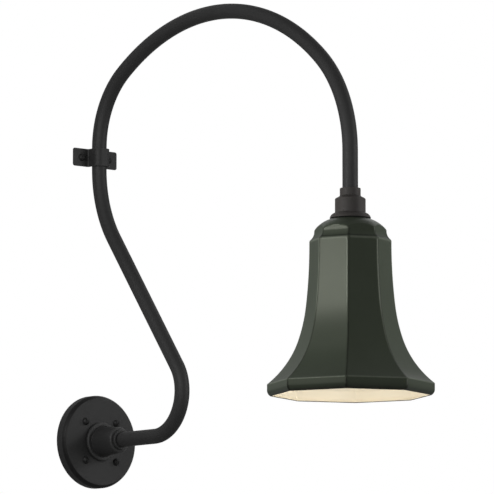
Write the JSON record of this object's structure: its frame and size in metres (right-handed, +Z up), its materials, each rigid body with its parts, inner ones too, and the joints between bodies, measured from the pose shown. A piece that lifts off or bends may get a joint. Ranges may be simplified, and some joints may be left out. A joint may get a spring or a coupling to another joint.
{
  "type": "barn light",
  "caption": "Gooseneck barn light: round wall plate, bent tube arm held by a wall strap, and an octagonal bell shade on a turning cap round a screw lamp socket.",
  "frame": {"origin": "centre of the wall plate on the wall plane", "axes": "+X along the wall, +Y into the wall, +Z up; the light stands out of the wall along -Y"},
  "size_m": [0.2164, 0.6556, 0.6367],
  "materials": {
    "graphite_paint": "satin graphite powder coat",
    "bronze_paint": "satin dark bronze powder coat",
    "green_enamel": "satin grey-green enamel outside, cream enamel inside",
    "zinc_steel": "zinc plated",
    "socket_steel": "plain pressed steel",
    "brass": "plain",
    "porcelain": "glazed porcelain",
    "black_rubber": "closed cell",
    "ground_paint": "green dyed zinc",
    "black_lead": "insulation",
    "white_lead": "insulation",
    "green_lead": "insulation",
    "connector_plastic": "moulded"
  },
  "bodies": {
    "arm_assembly": {"wall_plate": "graphite_paint", "arm_hub": "graphite_paint", "hub_collar": "graphite_paint", "gooseneck_arm": "graphite_paint", "wall_strap": "graphite_paint", "plate_screws": "graphite_paint", "strap_screws": "graphite_paint", "hub_set_screw": "graphite_paint", "box_bracket": "zinc_steel", "hub_locknut": "zinc_steel", "stem_nut": "zinc_steel", "holder_screws": "zinc_steel", "socket_cap": "socket_steel", "socket_stem": "brass", "screw_shell": "brass", "contact_rivet": "brass", "terminal_screws": "brass", "lamp_holder": "porcelain", "wall_gasket": "black_rubber", "ground_screw": "ground_paint", "line_lead": "black_lead", "neutral_lead": "white_lead", "ground_lead": "green_lead", "lead_connectors": "connector_plastic"},
    "shade_assembly": {"shade_cap": "bronze_paint", "cap_set_screw": "bronze_paint", "cap_gasket": "black_rubber", "shade": "green_enamel", "shade_ring_nut": "zinc_steel"},
    "contact_tongue": {"centre_contact": "brass"}
  },
  "joints": [
    {"name": "shade_turn", "type": "hinge", "parent": "arm_assembly", "child": "shade_assembly", "pos_m": [0, -0.5334, 0.2705], "axis": [0, 0, 1], "continuous": true},
    {"name": "contact_press", "type": "hinge", "parent": "arm_assembly", "child": "contact_tongue", "pos_m": [0.0084, -0.5334, 0.21596], "axis": [0, 1, 0], "range_deg": [0, 7], "stiffness_Nm_per_rad": 0.25}
  ]
}
